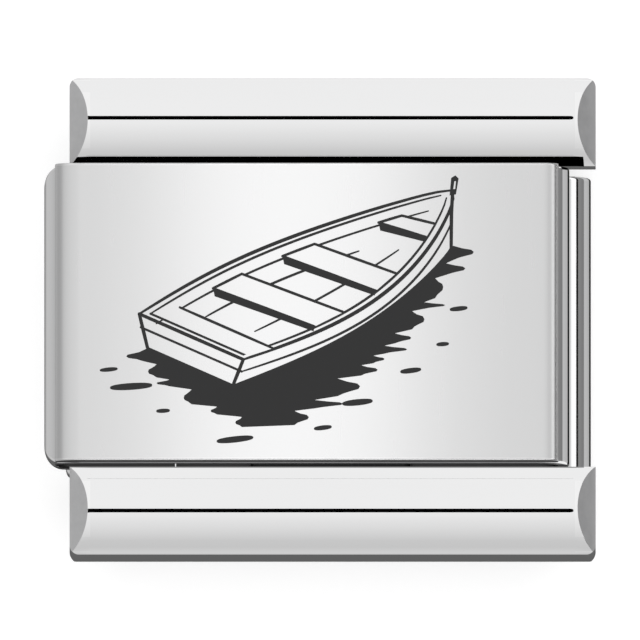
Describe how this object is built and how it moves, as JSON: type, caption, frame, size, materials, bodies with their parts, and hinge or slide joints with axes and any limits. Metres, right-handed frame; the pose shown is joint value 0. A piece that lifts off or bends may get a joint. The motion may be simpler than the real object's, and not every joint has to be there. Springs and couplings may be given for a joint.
{
  "type": "charm bracelet link",
  "caption": "Stretching charm bracelet link: decorated plate on flattened casings, side clips that rock against leaf springs.",
  "frame": {"origin": "middle of the link's box, on the surface that the link lies on, back down", "axes": "+X along the bracelet, +Y across the bracelet towards the top of the face's picture, +Z out of the decorated face"},
  "size_m": [0.0104, 0.009, 0.0034],
  "materials": {
    "face": "polished stainless steel",
    "casing": "satin stainless steel",
    "clip": "mirror polished stainless steel",
    "spring": "cold rolled spring steel"
  },
  "bodies": {
    "front": {"front_casing": "casing", "face_plate": "face", "front_leaf_spring": "spring"},
    "upper_clip": {"upper_side_clip": "clip"},
    "lower_clip": {"lower_side_clip": "clip"},
    "back": {"back_casing": "casing", "back_leaf_spring": "spring"}
  },
  "joints": [
    {"name": "upper_clip_rock", "type": "hinge", "parent": "front", "child": "upper_clip", "pos_m": [-0.00115, 0, 0.00219], "axis": [0, -1, 0], "range_deg": [0, 8], "stiffness_Nm_per_rad": 0.004, "springref_deg": -8.59, "deforming": ["front_leaf_spring"]},
    {"name": "lower_clip_rock", "type": "hinge", "parent": "front", "child": "lower_clip", "pos_m": [-0.00115, 0, 0.00219], "axis": [0, -1, 0], "range_deg": [0, 8], "stiffness_Nm_per_rad": 0.004, "springref_deg": -8.59},
    {"name": "back_casing_rock", "type": "hinge", "parent": "upper_clip", "child": "back", "pos_m": [0.00155, 0, 0.00086], "axis": [0, -1, 0], "range_deg": [-8, 0], "stiffness_Nm_per_rad": 0.004, "springref_deg": 8.59, "deforming": ["back_leaf_spring"]}
  ],
  "couplings": [
    {"joint": "lower_clip_rock", "follows": "upper_clip_rock", "ratio": 1},
    {"joint": "back_casing_rock", "follows": "upper_clip_rock", "ratio": -1}
  ]
}
